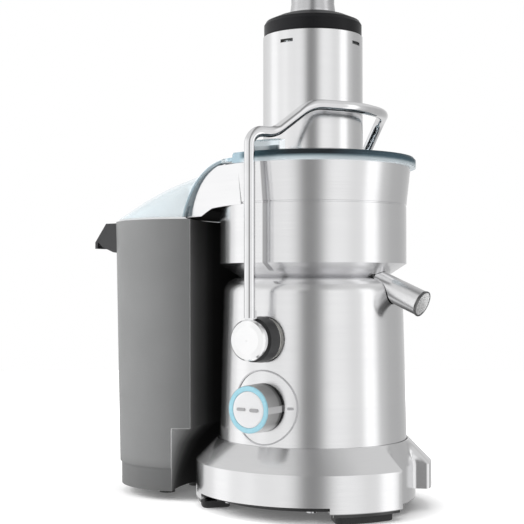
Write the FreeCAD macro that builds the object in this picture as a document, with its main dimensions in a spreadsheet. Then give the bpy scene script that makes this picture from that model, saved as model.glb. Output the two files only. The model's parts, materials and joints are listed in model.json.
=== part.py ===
import FreeCAD, Part
import math
import os
import Sketcher
from FreeCAD import Vector, Rotation, Placement

# Centrifugal juicer.  Millimetres, +Z up, front of the machine towards -Y,
# juice spout towards +X, pulp container towards -X.  Every profile below is
# written about the motor axis; axis_x then shifts the pieces so that the
# frame's origin is under the middle of the whole machine, on the counter.

doc = FreeCAD.newDocument("centrifugal_juicer")
sheet = doc.addObject("Spreadsheet::Sheet", "dims")


class Num:
    """A size together with the sheet formula that gives it."""

    def __init__(self, value, text):
        self.v = float(value)
        self.t = text

    def __add__(self, o):
        o = num(o)
        return Num(self.v + o.v, "(%s + %s)" % (self.t, o.t))

    __radd__ = __add__

    def __sub__(self, o):
        o = num(o)
        return Num(self.v - o.v, "(%s - %s)" % (self.t, o.t))

    def __rsub__(self, o):
        return num(o) - self

    def __mul__(self, o):
        o = num(o)
        return Num(self.v * o.v, "(%s * %s)" % (self.t, o.t))

    __rmul__ = __mul__

    def __neg__(self):
        return Num(-self.v, "(0 - %s)" % self.t)


def num(x):
    return x if isinstance(x, Num) else Num(x, "%.6f" % x)


cells = {}


def cell(name, value):
    """Put a size on the sheet and give it back with its formula."""
    if name in cells:
        return cells[name]
    row = len(cells) + 1
    sheet.set("A%d" % row, name.replace("_", " "))
    sheet.set("B%d" % row, "%.4f" % value)
    sheet.setAlias("B%d" % row, name)
    cells[name] = Num(value, "dims." + name)
    return cells[name]


# --- driving sizes -------------------------------------------------------
axis_x = cell("axis_x", 51.2)            # motor axis from the frame origin
foot_h = cell("foot_height", 6.0)
skirt_z = cell("skirt_bottom", 8.5)
skirt_top = cell("skirt_top", 38.5)
bevel_top = cell("bevel_top", 57.0)
lobe_r = cell("lobe_radius", 101.0)
front_r = cell("front_radius", 98.0)
notch_r = cell("notch_radius", 88.0)
collar_r = cell("bevel_top_radius", 81.6)
cavity_r = cell("plinth_cavity_radius", 84.5)
ledge_z = cell("housing_ledge", 52.0)
plate_t = cell("base_plate_thick", 3.0)
hous_r0 = cell("housing_bottom_radius", 79.5)
hous_r1 = cell("housing_top_radius", 75.9)
hous_top = cell("housing_top", 192.0)
hous_wall = cell("housing_wall", 1.6)
dial_z = cell("dial_height", 88.0)
pivot_z = cell("pivot_height", 142.5)
bowl_r = cell("bowl_radius", 79.4)
bowl_top = cell("bowl_top", 285.0)
bowl_top_r = cell("bowl_top_radius", 83.0)
seam_z = cell("bowl_seam", 253.0)
duct_z = cell("duct_bottom", 244.0)
arc_x = cell("parting_arc_x", -36.0)
arc_z = cell("parting_arc_z", 224.0)
arc_r = cell("parting_arc_radius", 62.5)
duct_end_x = cell("duct_end_x", -98.0)
duct_end_y = cell("duct_end_half_width", 51.0)
lid_r = cell("lid_radius", 87.5)
lid_top = cell("lid_top", 297.0)
chute_r = cell("chute_radius", 42.6)
chute_top = cell("chute_top", 398.0)
bin_x = cell("container_x", -131.0)
bin_r = cell("container_rim_radius", 67.5)
bin_r0 = cell("container_bottom_radius", 63.0)
bin_top = cell("container_rim", 243.0)
bin_z0 = cell("container_bottom", 8.0)
bin_wall = cell("container_wall", 2.2)
spout_a = cell("spout_slope", 23.6)
shaft_r = cell("shaft_radius", 5.0)
bar_r = cell("arm_bar_radius", 4.4)
leg_y = cell("arm_leg_y", 97.0)

nodes = []


# --- helpers -------------------------------------------------------------
def update(obj):
    """Bring one object, and what it is made from, up to date."""
    doc.recompute([obj])


def bind(obj, path, n):
    if isinstance(n, Num):
        obj.setExpression(path, n.t)


def place(obj, x=0.0, y=0.0, z=0.0, turn=None):
    """Set a placement whose base is bound to the sheet."""
    x, y, z = num(x), num(y), num(z)
    obj.Placement = Placement(Vector(x.v, y.v, z.v), turn or Rotation())
    for axis, n in (("x", x), ("y", y), ("z", z)):
        if "dims." in n.t:
            obj.setExpression("Placement.Base." + axis, n.t)


def node(obj, label, x=0.0, y=0.0, z=0.0, turn=None):
    """Name a finished piece and put it on the motor axis."""
    obj.Label = label
    place(obj, axis_x + x, y, z, turn)
    nodes.append(obj)
    return obj


def plane(body, role):
    for f in body.Origin.OriginFeatures:
        if f.Role == role:
            return f


def new_sketch(body, role, name, lift=None):
    sk = body.newObject("Sketcher::SketchObject", name)
    sk.AttachmentSupport = [(plane(body, role), "")]
    sk.MapMode = "FlatFace"
    if lift is not None:
        lift = num(lift)
        sk.AttachmentOffset = Placement(Vector(0, 0, lift.v), Rotation())
        if "dims." in lift.t:
            sk.setExpression("AttachmentOffset.Base.z", lift.t)
    return sk


def pin_point(cons, binds, geo, pos, x, y):
    for kind, axis, n in (("DistanceX", -2, x), ("DistanceY", -1, y)):
        if abs(n.v) < 1e-9:
            cons.append(Sketcher.Constraint("PointOnObject", geo, pos, axis))
        else:
            binds.append((len(cons), n))
            cons.append(Sketcher.Constraint(kind, -1, 1, geo, pos, n.v))


def polygon(sk, pts, tag):
    named = []
    for i, (a, b) in enumerate(pts):
        a = a if isinstance(a, Num) else cell("%s_a%d" % (tag, i), a)
        b = b if isinstance(b, Num) else cell("%s_b%d" % (tag, i), b)
        named.append((a, b))
    n = len(named)
    base = sk.GeometryCount
    for i in range(n):
        p, q = named[i], named[(i + 1) % n]
        sk.addGeometry(Part.LineSegment(Vector(p[0].v, p[1].v, 0), Vector(q[0].v, q[1].v, 0)))
    cons, binds = [], []
    for i in range(n):
        cons.append(Sketcher.Constraint("Coincident", base + i, 2, base + (i + 1) % n, 1))
    for i, (a, b) in enumerate(named):
        pin_point(cons, binds, base + i, 1, a, b)
    first = sk.ConstraintCount
    sk.addConstraint(cons)
    for k, n_ in binds:
        sk.setExpression("Constraints[%d]" % (first + k), n_.t)
    return named


def circles(sk, rows, tag):
    """Each row is x, y, radius."""
    for i, (x, y, r) in enumerate(rows):
        x = x if isinstance(x, Num) else cell("%s_x%d" % (tag, i), x)
        y = y if isinstance(y, Num) else cell("%s_y%d" % (tag, i), y)
        r = r if isinstance(r, Num) else cell("%s_r%d" % (tag, i), r)
        g = sk.addGeometry(Part.Circle(Vector(x.v, y.v, 0), Vector(0, 0, 1), r.v))
        cons = [Sketcher.Constraint("Radius", g, r.v)]
        binds = [(0, r)]
        pin_point(cons, binds, g, 3, x, y)
        first = sk.ConstraintCount
        sk.addConstraint(cons)
        for k, n_ in binds:
            sk.setExpression("Constraints[%d]" % (first + k), n_.t)


def ring_edges(shape, rows):
    out = []
    for r, z in rows:
        for i, e in enumerate(shape.Edges):
            c = e.Curve
            if hasattr(c, "Radius") and abs(c.Radius - num(r).v) < 1e-4 and abs(c.Center.z - num(z).v) < 1e-4:
                out.append("Edge%d" % (i + 1))
    return out


def rev(name, pts, rounds=()):
    """A turned piece: a profile in the XZ plane turned about Z.
    rounds: (list of (radius, height) of edges, fillet radius)."""
    body = doc.addObject("PartDesign::Body", name)
    sk = new_sketch(body, "XZ_Plane", name + "_profile")
    polygon(sk, pts, name)
    f = body.newObject("PartDesign::Revolution", name + "_turn")
    f.Profile = sk
    f.ReferenceAxis = (sk, ["V_Axis"])
    f.Angle = 360
    update(f)
    for k, (rows, radius) in enumerate(rounds):
        edges = ring_edges(body.Tip.Shape, rows)
        if not edges:
            raise RuntimeError("no edge to round on " + name)
        fl = body.newObject("PartDesign::Fillet", "%s_round%d" % (name, k))
        fl.Base = (f, edges)
        fr = cell("%s_round%d" % (name, k), radius)
        fl.Radius = fr.v
        bind(fl, "Radius", fr)
        update(fl)
        f = fl
    update(body)
    return body


def pad(body, sk, name, length):
    f = body.newObject("PartDesign::Pad", name)
    f.Profile = sk
    length = length if isinstance(length, Num) else cell(name, length)
    f.Length = length.v
    bind(f, "Length", length)
    update(f)
    return f


def pocket(body, sk, name, length, reverse=False, both=False):
    before = body.Tip.Shape.Volume
    f = body.newObject("PartDesign::Pocket", name)
    f.Profile = sk
    length = length if isinstance(length, Num) else cell(name, length)
    f.Length = length.v
    bind(f, "Length", length)
    f.Reversed = reverse
    if both:
        f.Midplane = True
    update(f)
    if not body.Tip.Shape.Volume < before - 1e-6:
        raise RuntimeError("pocket cut nothing: " + name)
    return f


def polar(body, feats, name, count, sk):
    p = body.newObject("PartDesign::PolarPattern", name)
    p.Originals = feats
    p.Axis = (sk, ["N_Axis"])
    p.Angle = 360
    p.Occurrences = count
    body.Tip = p
    update(p)
    return p


def cyl(name, r, height, x=0, y=0, z=0, turn=None, angle=None):
    o = doc.addObject("Part::Cylinder", name)
    r = r if isinstance(r, Num) else cell(name + "_r", r)
    height = height if isinstance(height, Num) else cell(name + "_len", height)
    o.Radius, o.Height = r.v, height.v
    bind(o, "Radius", r)
    bind(o, "Height", height)
    if angle is not None:
        o.Angle = angle
    place(o, x, y, z, turn)
    return o


def cone(name, r0, r1, height, x=0, y=0, z=0, turn=None):
    o = doc.addObject("Part::Cone", name)
    r0 = r0 if isinstance(r0, Num) else cell(name + "_r0", r0)
    r1 = r1 if isinstance(r1, Num) else cell(name + "_r1", r1)
    height = height if isinstance(height, Num) else cell(name + "_len", height)
    o.Radius1, o.Radius2, o.Height = r0.v, r1.v, height.v
    bind(o, "Radius1", r0)
    bind(o, "Radius2", r1)
    bind(o, "Height", height)
    place(o, x, y, z, turn)
    return o


def box(name, lx, ly, lz, x, y, z, turn=None):
    o = doc.addObject("Part::Box", name)
    for prop, n, key in (("Length", lx, "_lx"), ("Width", ly, "_ly"), ("Height", lz, "_lz")):
        n = n if isinstance(n, Num) else cell(name + key, n)
        setattr(o, prop, n.v)
        bind(o, prop, n)
    place(o, x, y, z, turn)
    return o


def cut(name, base, tools):
    out = base
    for i, t in enumerate(tools):
        o = doc.addObject("Part::Cut", name if i == len(tools) - 1 else "%s_cut%d" % (name, i))
        o.Base, o.Tool = out, t
        update(o)
        if not o.Shape.Volume < out.Shape.Volume - 1e-6:
            raise RuntimeError("cut removed nothing: %s %d" % (name, i))
        out = o
    return out


def fuse(name, parts):
    o = doc.addObject("Part::MultiFuse", name)
    o.Shapes = parts
    update(o)
    return o


def compound(name, parts):
    o = doc.addObject("Part::Compound", name)
    o.Links = parts
    update(o)
    return o


def feature(name, shape):
    o = doc.addObject("Part::Feature", name)
    o.Shape = shape
    return o


def turned(pts):
    """A turned solid from (radius, height) points."""
    w = Part.makePolygon([Vector(a, 0, b) for a, b in list(pts) + [pts[0]]])
    return Part.Face(w).revolve(Vector(0, 0, 0), Vector(0, 0, 1), 360)


def prism(pts, z0, z1):
    """An upright solid over plan points."""
    w = Part.makePolygon([Vector(a, b, z0) for a, b in list(pts) + [pts[0]]])
    return Part.Face(w).extrude(Vector(0, 0, z1 - z0))


def one_solid(shape, name):
    if len(shape.Solids) != 1:
        raise RuntimeError("%s has %d solids" % (name, len(shape.Solids)))
    s = shape.Solids[0].removeSplitter()
    return s.Solids[0] if s.Solids else s


FRONT = Rotation(Vector(1, 0, 0), 90)     # local Z to -Y
BACK = Rotation(Vector(1, 0, 0), -90)     # local Z to +Y

# --- base ----------------------------------------------------------------
# Plan of the plinth: side arcs about the axis, flatter front and back arcs,
# and a shallow notch in the middle of each side.
arc_c = cell("front_arc_centre", 6.0).v
arc_big = front_r.v + arc_c


def plan_r(deg):
    th = math.radians(deg)
    s = abs(math.sin(th))
    rf = -arc_c * s + math.sqrt(arc_big ** 2 - (arc_c * math.cos(th)) ** 2)
    k = 1.6
    r = -k * math.log(math.exp(-(lobe_r.v - 95) / k) + math.exp(-(rf - 95) / k)) + 95
    side = abs(math.degrees(math.atan2(math.sin(th), abs(math.cos(th)))))
    w = 0.5 * (1 + math.tanh((side - 12.4) / 0.75))
    return notch_r.v + (r - notch_r.v) * w


stations = []
for quarter in range(4):
    for d in (0, 4, 7.5, 9.8, 10.8, 11.5, 12.1, 12.7, 13.3, 14, 15, 17, 22, 27, 32, 36, 39, 41, 43, 46,
              50, 55, 60, 66, 72, 78, 84, 90):
        a = [d, 180 - d, 180 + d, 360 - d][quarter] % 360
        stations.append(round(a, 4))
stations = sorted(set(stations))


def plan_wire(fn, z):
    pts = [Vector(fn(a) * math.cos(math.radians(a)), fn(a) * math.sin(math.radians(a)), z) for a in stations]
    c = Part.BSplineCurve()
    c.interpolate(Points=pts, PeriodicFlag=True)
    return Part.Wire([c.toShape()])


w0 = plan_wire(plan_r, skirt_z.v)
skirt = Part.Face(w0).extrude(Vector(0, 0, skirt_top.v - skirt_z.v))
bevel = Part.makeLoft([plan_wire(plan_r, skirt_top.v), plan_wire(lambda a: collar_r.v, bevel_top.v)], True, True)
plinth = skirt.fuse(bevel)
cavity = turned([(0, 0), (cavity_r.v, 0), (cavity_r.v, 34), (75, 47), (75, ledge_z.v), (80, ledge_z.v), (80, 60), (0, 60)])
plinth = plinth.cut(cavity)
screw_r = cell("base_screw_circle", 78.5)
for a in (60, 120, 240, 300):
    c = Vector(screw_r.v * math.cos(math.radians(a)), screw_r.v * math.sin(math.radians(a)), skirt_z.v + plate_t.v)
    boss = Part.makeCylinder(6.4, 20, c).cut(Part.makeCylinder(2.05, 15, c))
    plinth = plinth.fuse(boss)
for a in (194.8, 310.2):
    leg = Part.makeCylinder(98.4, skirt_z.v - foot_h.v + 1.0, Vector(0, 0, foot_h.v), Vector(0, 0, 1), 35)
    leg = leg.cut(Part.makeCylinder(85.2, 20, Vector(0, 0, 0)))
    low = Part.makeCylinder(98.4, skirt_z.v - foot_h.v, Vector(0, 0, foot_h.v), Vector(0, 0, 1), 35)
    low = low.cut(Part.makeCylinder(68.0, 20, Vector(0, 0, 0)))
    leg = leg.fuse(low)
    leg.rotate(Vector(0, 0, 0), Vector(0, 0, 1), a)
    plinth = plinth.fuse(leg)
plinth = plinth.cut(Part.makeCylinder(6.8, 20, Vector(0, 78, 24), Vector(0, 1, 0)))
plinth = plinth.cut(Part.makeCylinder(10.0, 20, Vector(0, 90.4, 24), Vector(0, 1, 0)))
# the skirt's lower edge lifts between the feet, front and back, and more at
# the two rear corners, where the feet stand further in under the base plate
arch_x = cell("arch_half_width", 61.5).v
arch_z = cell("arch_height", 13.6).v
for s in (-1, 1):
    arch = Part.makeBox(2 * arch_x, 80, arch_z, Vector(-arch_x, s * 80 - 40, 0))
    plinth = plinth.cut(arch.cut(Part.makeCylinder(84.4, 60, Vector(0, 0, -10))))
lift_z = cell("corner_lift", 18.0).v
for a in (4.0, 128.0):
    corner = Part.makeCylinder(120, lift_z, Vector(0, 0, 0), Vector(0, 0, 1), 48)
    corner = corner.cut(Part.makeCylinder(86.6, 60, Vector(0, 0, -10)))
    corner.rotate(Vector(0, 0, 0), Vector(0, 0, 1), a)
    plinth = plinth.cut(corner)
node(feature("base_plinth", one_solid(plinth, "base_plinth")), "base_plinth")

pads = []
for a, r_in, r_out, h in ((196.3, 72.0, 95.5, foot_h.v), (311.7, 72.0, 95.5, foot_h.v),
                          (44.0, 54.0, 73.5, skirt_z.v), (104.0, 54.0, 73.5, skirt_z.v)):
    f = Part.makeCylinder(r_out, h, Vector(0, 0, 0), Vector(0, 0, 1), 32)
    f = f.cut(Part.makeCylinder(r_in, h, Vector(0, 0, 0)))
    up = [e for e in f.Edges if abs(e.Vertexes[0].Z - e.Vertexes[-1].Z) > 1]
    f = f.makeFillet(5.0, up)
    f = f.makeFillet(1.2, [e for e in f.Edges if max(v.Z for v in e.Vertexes) < 1e-6])
    f.rotate(Vector(0, 0, 0), Vector(0, 0, 1), a)
    pads.append(f.Solids[0])
node(feature("rubber_feet", Part.makeCompound(pads)), "rubber_feet")

b = doc.addObject("PartDesign::Body", "base_plate")
sk = new_sketch(b, "XY_Plane", "base_plate_disc", skirt_z)
circles(sk, [(0.0, 0.0, 84.2)], "base_plate_disc")
pad(b, sk, "base_plate_pad", plate_t)
pil = cell("pillar_offset", 42.0)
sk = new_sketch(b, "XY_Plane", "base_plate_pillars", skirt_z + plate_t)
circles(sk, [(pil * i, pil * j, cell("pillar_radius", 9.0)) for i in (1, -1) for j in (1, -1)], "base_pillar")
pad(b, sk, "base_plate_pillar_height", 36.5)
sk = new_sketch(b, "XY_Plane", "base_plate_posts", skirt_z + plate_t)
px, py = cell("board_post_x", 40.0), cell("board_post_y", 24.0)
circles(sk, [(px * i, py * j, cell("board_post_radius", 4.0)) for i in (1, -1) for j in (1, -1)], "board_post")
pad(b, sk, "base_plate_post_height", 12.5)
sk = new_sketch(b, "XY_Plane", "base_plate_holes", skirt_z)
circles(sk, [(screw_r * math.cos(math.radians(a)), screw_r * math.sin(math.radians(a)), cell("base_screw_hole", 2.3))
             for a in (60, 120, 240, 300)], "base_hole")
pocket(b, sk, "base_plate_hole_depth", 4.0, reverse=True)
sk = new_sketch(b, "XY_Plane", "base_plate_vent", skirt_z)
polygon(sk, [(14.0, -1.6), (30.0, -1.6), (30.0, 1.6), (14.0, 1.6)], "base_vent")
v = pocket(b, sk, "base_plate_vent_depth", 3.5, reverse=True)
polar(b, [v], "base_plate_vents", 10, sk)
node(b, "base_plate")

s0 = turned([(0, 7.0), (3.9, 7.0), (3.9, skirt_z.v), (2.0, skirt_z.v), (2.0, 22.0), (0, 22.0)])
group = []
for a in (60, 120, 240, 300):
    g = s0.copy()
    g.translate(Vector(screw_r.v * math.cos(math.radians(a)), screw_r.v * math.sin(math.radians(a)), 0))
    group.append(g.Solids[0])
node(feature("base_screws", Part.makeCompound(group)), "base_screws")

gl = rev("cord_gland", [(3.6, 0.0), (6.6, 0.0), (6.6, 8.4), (9.5, 8.4), (9.5, 10.2), (7.0, 11.6), (3.6, 11.6)])
node(gl, "cord_gland", 0, 82.0, 24.0, BACK)

# --- motor housing -------------------------------------------------------
hb = rev("housing_turn", [(hous_r0, ledge_z), (hous_r1, hous_top), (61.0, hous_top), (61.0, 189.6),
                          (74.6, 176.8), (hous_r0 - hous_wall, ledge_z)],
         [([(hous_r1, hous_top)], 13.0)])
spout_root_x = cell("spout_root_x", 62.0)
spout_root_z = cell("spout_root_z", 188.6)
slope = Rotation(Vector(0, 1, 0), 90 + spout_a.v)
relief = cone("housing_spout_relief", 10.9, 11.6, 50.0, spout_root_x, 0, spout_root_z, slope)
hole_p = cyl("housing_pivot_hole", 7.7, 200.0, 0, 100, pivot_z, FRONT)
hole_d = cyl("housing_dial_hole", 4.2, 40.0, 0, -50, dial_z, FRONT)
node(cut("motor_housing", hb, [relief, hole_p, hole_d]), "motor_housing")

node(rev("housing_deck", [(12.2, 186.0), (60.6, 186.0), (60.6, hous_top), (19.0, hous_top), (19.0, 197.0),
                          (16.5, 197.0), (16.5, 190.6), (12.2, 190.6)]), "housing_deck")
node(rev("shaft_seal", [(5.4, 186.6), (12.0, 186.6), (12.0, 190.8), (16.2, 190.8), (16.2, 192.6), (7.2, 192.6),
                        (5.4, 196.0)]), "shaft_seal")

# --- motor ---------------------------------------------------------------
b = rev("motor_lower_bracket", [(6.6, 60.0), (60.0, 60.0), (60.0, 64.0), (49.4, 64.0), (49.4, 117.8), (46.2, 117.8),
                                (46.2, 64.0), (17.0, 64.0), (17.0, 72.5), (13.05, 72.5), (13.05, 62.0), (6.6, 62.0)])
sk = new_sketch(b, "XY_Plane", "lower_bracket_holes", 60.0)
tie = cell("tie_circle", 54.0)
circles(sk, [(tie, 0.0, cell("tie_hole", 2.15)), (-tie, 0.0, cell("tie_hole", 2.15)),
             (0.0, tie, cell("tie_hole", 2.15)), (0.0, -tie, cell("tie_hole", 2.15))], "lower_tie")
pocket(b, sk, "lower_bracket_hole_depth", 5.0, reverse=True)
sk = new_sketch(b, "XZ_Plane", "lower_bracket_window")
polygon(sk, [(-14.0, 92.0), (14.0, 92.0), (14.0, 108.0), (-14.0, 108.0)], "lower_window")
w = pocket(b, sk, "lower_bracket_window_depth", 130.0, both=True)
node(b, "motor_lower_bracket")

b = rev("motor_upper_bracket", [(46.2, 118.2), (49.4, 118.2), (49.4, 162.0), (60.0, 162.0), (60.0, 166.0), (17.0, 166.0),
                                (17.0, 170.5), (13.05, 170.5), (13.05, 160.0), (6.6, 160.0), (6.6, 158.0), (17.0, 158.0),
                                (17.0, 162.0), (46.2, 162.0)])
sk = new_sketch(b, "XY_Plane", "upper_bracket_holes", 162.0)
circles(sk, [(tie, 0.0, cell("tie_hole", 2.15)), (-tie, 0.0, cell("tie_hole", 2.15)),
             (0.0, tie, cell("tie_hole", 2.15)), (0.0, -tie, cell("tie_hole", 2.15))], "upper_tie")
pocket(b, sk, "upper_bracket_hole_depth", 5.0, reverse=True)
sk = new_sketch(b, "XY_Plane", "upper_bracket_vent", 162.0)
circles(sk, [(31.0, 0.0, 8.0)], "upper_vent")
v = pocket(b, sk, "upper_bracket_vent_depth", 5.0, reverse=True)
polar(b, [v], "upper_bracket_vents", 8, sk)
node(b, "motor_upper_bracket")

b = doc.addObject("PartDesign::Body", "motor_tie_screws")
sk = new_sketch(b, "XY_Plane", "tie_shank", 57.0)
circles(sk, [(tie, 0.0, 2.0)], "tie_shank")
p1 = pad(b, sk, "tie_shank_length", 109.0)
sk2 = new_sketch(b, "XY_Plane", "tie_head", 166.0)
circles(sk2, [(tie, 0.0, 4.0)], "tie_head")
p2 = pad(b, sk2, "tie_head_height", 3.0)
polar(b, [p1, p2], "tie_group", 4, sk)
node(b, "motor_tie_screws")

mm = []
for i in (1, -1):
    for j in (1, -1):
        mm.append(cyl("motor_mount_%d" % (len(mm) + 1), cell("motor_mount_radius", 8.0), cell("motor_mount_height", 12.0),
                      pil * i, pil * j, 48.0))
node(compound("motor_mounts", mm), "motor_mounts")

b = doc.addObject("PartDesign::Body", "motor_stator")
sk = new_sketch(b, "XY_Plane", "stator_plan", 98.0)
circles(sk, [(0.0, 0.0, 46.0), (0.0, 0.0, 26.0)], "stator")
pad(b, sk, "stator_stack", 40.0)
sk = new_sketch(b, "XY_Plane", "stator_windows", 98.0)
polygon(sk, [(-24.0, -38.0), (24.0, -38.0), (24.0, 38.0), (-24.0, 38.0)], "stator_window")
# the pole pieces stay: the windows are cut only outside the bore's half width
pocket(b, sk, "stator_window_depth", 41.0, reverse=True)
node(b, "motor_stator")
coil = []
for j in (1, -1):
    coil.append(box("field_coil_%d" % (1 if j > 0 else 2), 44.0, 8.0, 52.0, -22.0, 28.5 if j > 0 else -36.5, 92.0))
node(compound("field_coils", coil), "field_coils")

node(rev("lower_bearing", [(5.05, 62.0), (13.0, 62.0), (13.0, 70.0), (5.05, 70.0)]), "lower_bearing")
node(rev("upper_bearing", [(5.05, 160.2), (13.0, 160.2), (13.0, 168.2), (5.05, 168.2)]), "upper_bearing")

hold, brush, spring = [], [], []
for k, s in enumerate((1, -1)):
    o = box("brush_holder_block_%d" % k, 27.0, 11.0, 19.0, 17.5 if s > 0 else -44.5, -5.5, 66.5)
    i = box("brush_holder_slot_%d" % k, 25.0, 7.6, 7.6, 17.0 if s > 0 else -42.0, -3.8, 75.2)
    u = box("brush_holder_foot_%d" % k, 12.0, 12.0, 7.0, 17.0 if s > 0 else -29.0, -6.0, 66.0)
    hold.append(cut("brush_holder_%d" % k, o, [i, u]))
    brush.append(box("carbon_brush_%d" % k, 18.0, 7.0, 7.0, 13.3 if s > 0 else -31.3, -3.5, 75.5))
    t = cyl("brush_spring_%d" % k, 2.9, 10.4, 31.4 if s > 0 else -41.8, 0, 79.0, Rotation(Vector(0, 1, 0), 90))
    ti = cyl("brush_spring_bore_%d" % k, 2.1, 12.0, 31.0 if s > 0 else -42.4, 0, 79.0, Rotation(Vector(0, 1, 0), 90))
    spring.append(cut("brush_spring_tube_%d" % k, t, [ti]))
node(compound("brush_holders", hold), "brush_holders", 0, 0, -2.5)
node(compound("carbon_brushes", brush), "carbon_brushes", 0, 0, -2.5)
node(compound("brush_springs", spring), "brush_springs", 0, 0, -2.5)

# --- electrics -----------------------------------------------------------
node(box("control_board", 92.0, 60.0, 1.6, -46.0, -30.0, 24.0), "control_board", -46.0, -30.0, 24.0)
node(compound("board_components", [
    cyl("board_capacitor", 8.0, 20.0, -28.0, 0.0, 25.6),
    box("board_heat_sink", 30.0, 4.0, 22.0, 4.0, 12.0, 25.6),
    box("board_relay", 18.0, 15.0, 16.0, 8.0, -18.0, 25.6),
    cyl("board_choke", 9.0, 12.0, -12.0, -16.0, 25.6),
    box("board_terminals", 24.0, 9.0, 10.0, -36.0, 16.0, 25.6)]), "board_components")
sw = box("rotary_switch_case", 30.0, 13.0, 30.0, -15.0, -74.0, dial_z - 15.0)
swh = cyl("rotary_switch_bore", 3.05, 20.0, 0, -58.0, dial_z, FRONT)
node(cut("rotary_switch", sw, [swh]), "rotary_switch")
node(box("lock_switch", 20.0, 10.0, 16.0, 9.0, -66.0, 134.5), "lock_switch", 9.0, -66.0, 134.5)

# thin ring laid on the housing round the dial
taper = (hous_r0.v - hous_r1.v) / (hous_top.v - ledge_z.v)


def hous_at(z):
    return hous_r0.v - taper * (z - ledge_z.v)


esc_o = cone("escutcheon_outer", hous_at(50) + 0.55, hous_at(126) + 0.55, 76.0, 0, 0, 50.0)
esc_i = cone("escutcheon_inner", hous_at(50) + 0.05, hous_at(126) + 0.05, 76.0, 0, 0, 50.0)
esc_s = cut("escutcheon_skin", esc_o, [esc_i])
esc_a = cyl("escutcheon_ring_outer", 30.2, 60.0, 0, -30.0, dial_z, FRONT)
esc_b = cyl("escutcheon_ring_inner", 29.0, 60.0, 0, -30.0, dial_z, FRONT)
esc_r = cut("escutcheon_ring", esc_a, [esc_b])
o = doc.addObject("Part::Common", "dial_escutcheon")
o.Base, o.Tool = esc_s, esc_r
update(o)
node(o, "dial_escutcheon")

# --- dial ----------------------------------------------------------------
node(rev("dial_knob", [(3.02, 0.0), (19.4, 0.0), (19.4, 1.2), (19.0, 18.4), (18.7, 18.7), (18.7, 16.6), (3.02, 16.6)]),
     "dial_knob", 0, -80.0, dial_z, FRONT)
node(rev("dial_light_ring", [(14.5, 16.6), (18.6, 16.6), (18.6, 18.7), (17.8, 19.2), (15.0, 19.2), (14.5, 18.9)]),
     "dial_light_ring", 0, -80.0, dial_z, FRONT)
node(rev("dial_face", [(0.0, 16.6), (14.3, 16.6), (14.3, 18.9), (12.6, 19.3), (0.0, 19.6)]),
     "dial_face", 0, -80.0, dial_z, FRONT)
node(cyl("dial_shaft", 3.0, 33.0, 0, 0, 0), "dial_shaft", 0, -63.0, dial_z, FRONT)

# --- locking arm ---------------------------------------------------------
def rounded(points, radii):
    """Straight runs joined by tangent arcs."""
    edges = []
    last = points[0]
    for i in range(1, len(points) - 1):
        p, a, c = points[i], points[i - 1], points[i + 1]
        u = (a - p).normalize()
        w = (c - p).normalize()
        ang = math.acos(max(-1.0, min(1.0, u.dot(w))))
        t = radii[i - 1] / math.tan(ang / 2)
        s, e = p + u * t, p + w * t
        bis = (u + w).normalize()
        centre = p + bis * (radii[i - 1] / math.sin(ang / 2))
        mid = centre - bis * radii[i - 1]
        edges.append(Part.LineSegment(last, s).toShape())
        edges.append(Part.Arc(s, mid, e).toShape())
        last = e
    edges.append(Part.LineSegment(last, points[-1]).toShape())
    return Part.Wire(edges)


bend_z = cell("arm_bend_z", 308.0)
bow_z = cell("arm_bow_z", 331.0)
half = [(0, -leg_y.v, 160), (0, -leg_y.v, bend_z.v), (10.9, -77, bend_z.v), (34, -59, bow_z.v), (57, -22, bow_z.v)]
pts = [Vector(*p) for p in half] + [Vector(p[0], -p[1], p[2]) for p in reversed(half)]
rad = [11.0, 14.0, 26.0, 60.0, 60.0, 26.0, 14.0, 11.0]
path = rounded(pts, rad)
prof = Part.Wire([Part.Circle(pts[0], Vector(0, 0, 1), bar_r.v).toShape()])
bar = path.makePipeShell([prof], True, False)
if abs(bar.Volume - math.pi * bar_r.v ** 2 * path.Length) > 0.01 * bar.Volume:
    raise RuntimeError("the arm's bar has the wrong volume")
arm = bar
for s in (-1, 1):
    eye = Part.makeCylinder(16.0, 5.5, Vector(0, s * 92.5, pivot_z.v), Vector(0, s, 0))
    eye = eye.cut(Part.makeCylinder(5.02, 8, Vector(0, s * 91.5, pivot_z.v), Vector(0, s, 0)))
    neck = Part.makeBox(8.0, 5.2, 16.0, Vector(-4.0, 92.8 if s > 0 else -98.0, 150.0))
    arm = arm.fuse(neck).fuse(eye)
node(feature("locking_arm", one_solid(arm, "locking_arm")), "locking_arm")

pc, pp, pn, pb = [], [], [], []
for k, (s, turn) in enumerate(((-1, FRONT), (1, BACK))):
    c = rev("pivot_collar_%d" % k, [(5.02, 0.0), (18.5, 0.0), (18.5, 2.0), (17.6, 12.0), (5.02, 12.0)])
    place(c, 0, s * 80.5, pivot_z, turn)
    pc.append(c)
    d = rev("pivot_cap_%d" % k, [(0.0, 0.0), (16.5, 0.0), (16.5, 1.2), (15.2, 2.6), (11.0, 3.3), (0.0, 3.5)])
    place(d, 0, s * 98.0, pivot_z, turn)
    pp.append(d)
    pn.append(cyl("pivot_pin_%d" % k, shaft_r, 36.0, 0, s * 62.0, pivot_z, turn))
    e = rev("pivot_bush_%d" % k, [(5.05, 0.0), (7.5, 0.0), (7.5, 9.6), (17.2, 9.6), (17.2, 12.0), (5.05, 12.0)])
    place(e, 0, s * 68.2, pivot_z, turn)
    pb.append(e)
node(compound("pivot_collars", pc), "pivot_collars")
node(compound("pivot_caps", pp), "pivot_caps")
node(compound("pivot_pins", pn), "pivot_pins")
node(compound("pivot_bushes", pb), "pivot_bushes")

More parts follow.
